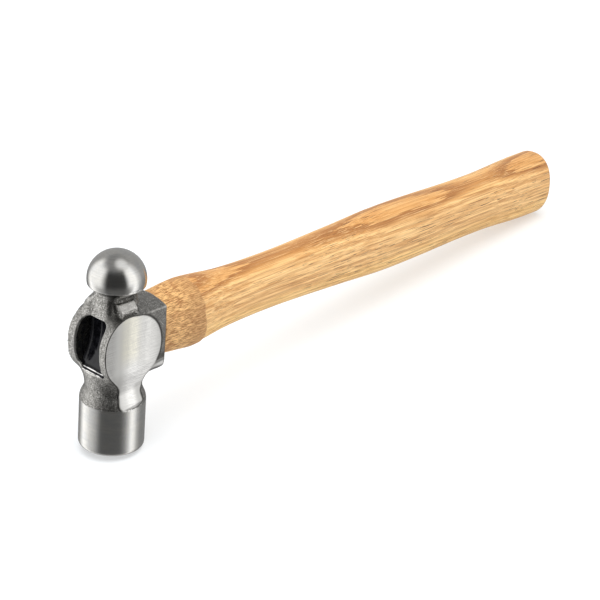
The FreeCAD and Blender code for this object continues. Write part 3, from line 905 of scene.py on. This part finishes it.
def oak():
    material, tree = new_material("lacquered_oak")
    spot = attribute(tree, "place", "Vector")
    phase = attribute(tree, "rings")
    rasped = attribute(tree, "rasped")
    along, _, up = parts_of(tree, spot)
    streak = grain(tree, scaled(tree, spot, (0.028, 0.85, 0.85)), detail=4.0, roughness=0.6)
    fibre = grain(tree, scaled(tree, spot, (0.024, 3.0, 3.0)), detail=4.0, roughness=0.65)
    wobble = product(tree, maths(tree, "SUBTRACT", streak, 0.5), 0.7)
    wobbly = maths(tree, "ADD", phase, wobble)
    band = maths(tree, "FRACT", wobbly)
    late = product(tree, remap(tree, band, 0.35, 0.92), remap(tree, band, 1.0, 0.94))
    heart = remap(tree, wobbly, HEART_PHASE, HEART_PHASE + 0.25)
    tone = blend(tree, remap(tree, streak, 0.38, 0.62), OAK_DARK, OAK_LIGHT)
    tone = blend(tree, product(tree, heart, 0.65), tone, HEARTWOOD)
    # Painted light: the handle's underside is lightened.
    tone = blend(tree, remap(tree, up, -2.0, -10.0), tone, UNDERSIDE_LIGHT_GAIN, "MULTIPLY")
    lines = product(tree, late, maths(tree, "MULTIPLY_ADD", heart, 0.50, 0.26))
    tone = blend(tree, lines, tone, LATE_WOOD)
    tone = blend(tree, remap(tree, fibre, 0.50, 0.66, 0.0, 0.62), tone, FIBRE_DARK)
    tone = blend(tree, remap(tree, fibre, 0.46, 0.32, 0.0, 0.60), tone, FIBRE_LIGHT)
    dash = grain(tree, scaled(tree, spot, (0.065, 2.3, 2.3)), detail=1.5)
    cluster = grain(tree, scaled(tree, spot, (0.012, 0.11, 0.11)), detail=2.0)
    often = remap(tree, along, 60.0, 150.0, 0.35, 1.0)
    often = product(tree, remap(tree, cluster, 0.44, 0.56), often)
    pores = product(tree, remap(tree, dash, 0.635, 0.66), often)
    tone = blend(tree, product(tree, pores, 0.92), tone, OPEN_PORE)
    torn = grain(tree, scaled(tree, spot, (0.18, 2.6, 2.6)), detail=4.0, roughness=0.7)
    spots = grain(tree, spot, scale=0.24, detail=3.0)
    rough_tone = blend(tree, remap(tree, torn, 0.38, 0.62), TORN_LIGHT, TORN_DARK)
    rough_tone = blend(tree, remap(tree, spots, 0.50, 0.66, 0.0, 0.45), rough_tone, TORN_SPOT)
    rough_tone = blend(tree, remap(tree, along, 30.0, 46.0, 0.0, 0.45), rough_tone, TORN_END)
    tone = blend(tree, product(tree, rasped, 0.95), tone, rough_tone)
    rough = maths(tree, "ADD", remap(tree, fibre, 0.3, 0.7, 0.34, 0.50), product(tree, rasped, 0.2))
    coat = maths(tree, "MULTIPLY_ADD", rasped, -0.2, 0.24)
    normal = bump(tree, fibre, 0.30, 0.0003)
    normal = bump(tree, product(tree, torn, rasped), 0.7, 0.0005, normal)
    normal = bump(tree, pores, -0.25, 0.0002, normal)
    feed(tree, Base_Color=tone, Roughness=rough, Coat_Weight=coat, Normal=normal)
    feed(tree, Coat_Roughness=0.18, Specular_IOR_Level=0.35)
    return material


def make_handle():
    new_piece("handle_visual", handle_mesh(), "handle", [oak()])


# ---------------------------------------------------------------- resin and wedges


RESIN_VOXEL = 0.22
# The resin's plain face in the eye starts above the lip.
RESIN_FACE_Z = (44.6, 46.5)
# Its rim climbs the eye's wall, and the kerf shows through it as a low ridge.
CLIMB, CLIMB_REACH = 1.2, 0.9
KERF_Y, KERF_HALF_WIDTH, KERF_RIDGE = 1.6, 0.3, 0.2
KERF_LOW_Z = (50.0, 54.0)
# Two beads on the lip, given a bright metallic colour in patches
BEADS_Z = (LIP_LOW[1] + 0.25, LIP_LOW[1] + 1.5)
BEAD_HEIGHT, BEAD_HALF_WIDTH = 0.22, 0.30


def resin_mesh():
    mesh = remeshed("resin_seal", RESIN_VOXEL)
    points = to_upright(coordinates(mesh))
    edges = edges_of(mesh)
    points = relaxed(points, edges, np.full(len(points), 0.6), 3)
    place(mesh, points)
    facing = normals(mesh)
    front = smooth_step(-facing[:, 0], 0.35, 0.8) * smooth_step(points[:, 2], *RESIN_FACE_Z)
    gap = np.clip(-eye_field(*points.T), 0, None)
    climb = CLIMB * np.exp(-gap / CLIMB_REACH)
    kerf = KERF_RIDGE * np.exp(-((points[:, 1] - KERF_Y) / KERF_HALF_WIDTH) ** 2)
    kerf = kerf * smooth_step(points[:, 2], *KERF_LOW_Z)
    ripple = 0.10 * noise(points, (5.0, 2.4, 9.0), 61) + 0.04 * noise(points, (1.6, 1.0, 4.0), 62)
    points[:, 0] -= front * (climb + kerf + ripple)
    points = relaxed(points, edges, np.full(len(points), 0.5), 2)
    low_front = smooth_step(-facing[:, 0], 0.2, 0.6)
    beads = [np.exp(-((points[:, 2] - z) / BEAD_HALF_WIDTH) ** 2) * low_front for z in BEADS_Z]
    bead = np.max(beads, axis=0)
    points[:, 0] -= BEAD_HEIGHT * bead
    on_lip = smooth_step(-points[:, 2], -LIP_HIGH[1] - 0.5, -LIP_HIGH[1] - 0.1)
    place(mesh, points)
    keep_vector(mesh, "place", points)
    keep_value(mesh, "bright_metal", bead * (0.85 + 0.45 * noise(points, (1.5, 1.8, 1.5), 63)))
    keep_value(mesh, "dull", on_lip)
    return mesh


def black_resin():
    material, tree = new_material("black_resin")
    spot = attribute(tree, "place", "Vector")
    drift = grain(tree, spot, scale=0.35, detail=3.0)
    tone = blend(tree, remap(tree, drift, 0.35, 0.65), (0.004, 0.004, 0.005), (0.011, 0.011, 0.014))
    # The lip's beads turn bright and metallic in patches.
    bright_metal = remap(tree, attribute(tree, "bright_metal"), 0.45, 0.75)
    tone = blend(tree, bright_metal, tone, (0.75, 0.74, 0.72))
    dull = product(tree, attribute(tree, "dull"), maths(tree, "SUBTRACT", 1.0, bright_metal))
    rough = maths(tree, "MULTIPLY_ADD", dull, 0.55, remap(tree, drift, 0.3, 0.7, 0.07, 0.20))
    feed(tree, Base_Color=tone, Metallic=bright_metal, Roughness=rough, Normal=bump(tree, drift, 0.15, 0.0008))
    feed(tree, Specular_IOR_Level=0.33)
    return material


def make_resin():
    new_piece("resin_visual", resin_mesh(), "resin_seal", [black_resin()])


def wedge_wood():
    material, tree = new_material("wedge_wood")
    spot = add(tree, "ShaderNodeTexCoord").outputs["Object"]
    fibre = grain(tree, scaled(tree, spot, (120.0, 900.0, 900.0)), detail=4.0, roughness=0.6)
    tone = blend(tree, remap(tree, fibre, 0.35, 0.65), (0.50, 0.32, 0.16), (0.28, 0.15, 0.06))
    rough = remap(tree, fibre, 0.3, 0.7, 0.55, 0.75)
    feed(tree, Base_Color=tone, Roughness=rough, Normal=bump(tree, fibre, 0.4, 0.0002))
    return material


def wedge_steel():
    material, tree = new_material("wedge_steel")
    spot = add(tree, "ShaderNodeTexCoord").outputs["Object"]
    scratch = grain(tree, scaled(tree, spot, (300.0, 2500.0, 300.0)), detail=4.0, roughness=0.7)
    tone = blend(tree, remap(tree, scratch, 0.35, 0.65), (0.42, 0.42, 0.41), (0.20, 0.19, 0.18))
    rough = remap(tree, scratch, 0.3, 0.7, 0.30, 0.50)
    feed(tree, Base_Color=tone, Metallic=1.0, Roughness=rough, Normal=bump(tree, scratch, 0.3, 0.0001))
    return material


def finish_wedges():
    """The wedges stay as the CAD made them, with their own materials."""
    steel = wedge_steel()
    finishes = {"wooden_wedge": wedge_wood(), "steel_wedge_lower": steel, "steel_wedge_upper": steel}
    for node, material in finishes.items():
        frame["nodes"][node].material_slots[0].material = material


# ---------------------------------------------------------------- stage, light and camera


CAMERA_AZIMUTH = math.radians(-47.562)
CAMERA_ELEVATION = math.radians(29.565)
CAMERA_ROLL = math.radians(-0.179)
CAMERA_DISTANCE = 0.93447
CAMERA_TARGET = Vector((-0.02857, 0.0, 0.0229))
CAMERA_LENS = 107.39
TOWARDS_CAMERA = Vector((math.sin(CAMERA_AZIMUTH), -math.cos(CAMERA_AZIMUTH), 0.0))
TO_THE_RIGHT = Vector((-TOWARDS_CAMERA.y, TOWARDS_CAMERA.x, 0.0))

FLOOR_HALF = 4.0
FLOOR_TONE = (0.525, 0.545, 0.56, 1.0)
FLOOR_GLOW = 0.46

LAMP_PLACE = Vector((-0.1, -0.1, 1.4))
LAMP_SIZE = 1.6
LAMP_POWER = 22.0


def make_camera():
    data = bpy.data.cameras.new("camera")
    data.lens = CAMERA_LENS
    data.sensor_width = 36.0
    data.clip_start = 0.01
    camera = bpy.data.objects.new("camera", data)
    bpy.context.scene.collection.objects.link(camera)
    back = TOWARDS_CAMERA * math.cos(CAMERA_ELEVATION) + Vector((0, 0, math.sin(CAMERA_ELEVATION)))
    camera.location = CAMERA_TARGET + back * CAMERA_DISTANCE
    level = (-back).to_track_quat("-Z", "Y").to_matrix().to_4x4()
    roll = Matrix.Rotation(CAMERA_ROLL, 4, "Z")
    camera.rotation_euler = (level @ roll).to_euler()
    bpy.context.scene.camera = camera


def make_floor():
    mesh = bpy.data.meshes.new("floor")
    corners = [(FLOOR_HALF * x, FLOOR_HALF * y, 0) for x, y in ((-1, -1), (1, -1), (1, 1), (-1, 1))]
    mesh.from_pydata(corners, [], [(0, 1, 2, 3)])
    floor = bpy.data.objects.new("floor", mesh)
    bpy.context.scene.collection.objects.link(floor)
    material, tree = new_material("pale_floor")
    feed(tree, Base_Color=FLOOR_TONE, Roughness=1.0, Specular_IOR_Level=0.0)
    feed(tree, Emission_Color=(1.0, 1.0, 1.0, 1.0), Emission_Strength=FLOOR_GLOW)
    mesh.materials.append(material)
    floor.visible_glossy = False


def make_lamp():
    """A wide soft box overhead, which casts the shadow on the floor."""
    data = bpy.data.lights.new("overhead", "AREA")
    data.shape = "SQUARE"
    data.size = LAMP_SIZE
    data.energy = LAMP_POWER
    lamp = bpy.data.objects.new("overhead", data)
    bpy.context.scene.collection.objects.link(lamp)
    lamp.location = LAMP_PLACE
    lamp.rotation_euler = (-LAMP_PLACE).to_track_quat("-Z", "Y").to_euler()
    lamp.visible_glossy = False


# Brightness of the studio round the camera, below and above its horizon: (share of a full turn, brightness)
STUDIO_LOW = (
    (0.00, 0.30), (0.13, 0.30), (0.165, 0.9), (0.205, 2.0), (0.245, 1.6), (0.29, 0.85), (0.34, 0.5),
    (0.41, 0.16), (0.58, 0.15), (0.635, 0.28), (0.665, 0.7), (0.705, 1.8), (0.735, 1.5), (0.78, 0.6),
    (0.83, 0.33), (1.00, 0.30),
)
STUDIO_HIGH = (
    (0.00, 0.48), (0.12, 0.48), (0.19, 1.6), (0.32, 1.55), (0.415, 0.05), (0.60, 0.05), (0.66, 1.6),
    (0.72, 1.7), (0.765, 0.95), (0.82, 0.48), (1.00, 0.48),
)
STUDIO_UPPER = 0.33
TOP_LIGHT_TONE = 1.3
TOP_LIGHT_TURN = math.radians(75.0)
TOP_LIGHT_HEIGHT = math.radians(70.0)
STUDIO_FLOOR = 0.75


def make_world():
    """A studio: soft boxes left and right, a light high on the right, darkness behind the camera."""
    world = bpy.data.worlds.new("studio")
    bpy.context.scene.world = world
    world.use_nodes = True
    tree = world.node_tree
    direction = add(tree, "ShaderNodeTexCoord").outputs["Generated"]
    towards = add(tree, "ShaderNodeVectorMath", {0: direction, 1: TOWARDS_CAMERA}, operation="DOT_PRODUCT")
    beside = add(tree, "ShaderNodeVectorMath", {0: direction, 1: TO_THE_RIGHT}, operation="DOT_PRODUCT")
    turn = maths(tree, "ARCTAN2", beside.outputs["Value"], towards.outputs["Value"])
    share = remap(tree, turn, -math.pi, math.pi, smooth=False)
    height = parts_of(tree, direction)[2]
    level = TOWARDS_CAMERA * math.cos(TOP_LIGHT_TURN) + TO_THE_RIGHT * math.sin(TOP_LIGHT_TURN)
    top_light = level * math.cos(TOP_LIGHT_HEIGHT) + Vector((0, 0, math.sin(TOP_LIGHT_HEIGHT)))
    low, high = bands_along(tree, share, STUDIO_LOW), bands_along(tree, share, STUDIO_HIGH)
    tone = blend(tree, remap(tree, height, -0.42, -0.15), low, high)
    tone = blend(tree, remap(tree, height, 0.62, 0.92), tone, (STUDIO_UPPER,) * 3)
    above = add(tree, "ShaderNodeVectorMath", {0: direction, 1: top_light}, operation="DOT_PRODUCT")
    tone = blend(tree, remap(tree, above.outputs["Value"], 0.87, 1.01), tone, (TOP_LIGHT_TONE,) * 3)
    tone = blend(tree, remap(tree, height, -0.78, -0.95), tone, (STUDIO_FLOOR,) * 3)
    backdrop = add(tree, "ShaderNodeLightPath").outputs["Is Camera Ray"]
    tone = blend(tree, backdrop, tone, (1.0, 1.0, 1.0))
    tree.links.new(tone, tree.nodes["Background"].inputs["Color"])


def make_stage():
    make_camera()
    make_floor()
    make_world()
    make_lamp()
    bpy.context.scene.view_settings.view_transform = "Standard"


make_stage()
make_head()
make_handle()
make_resin()
finish_wedges()
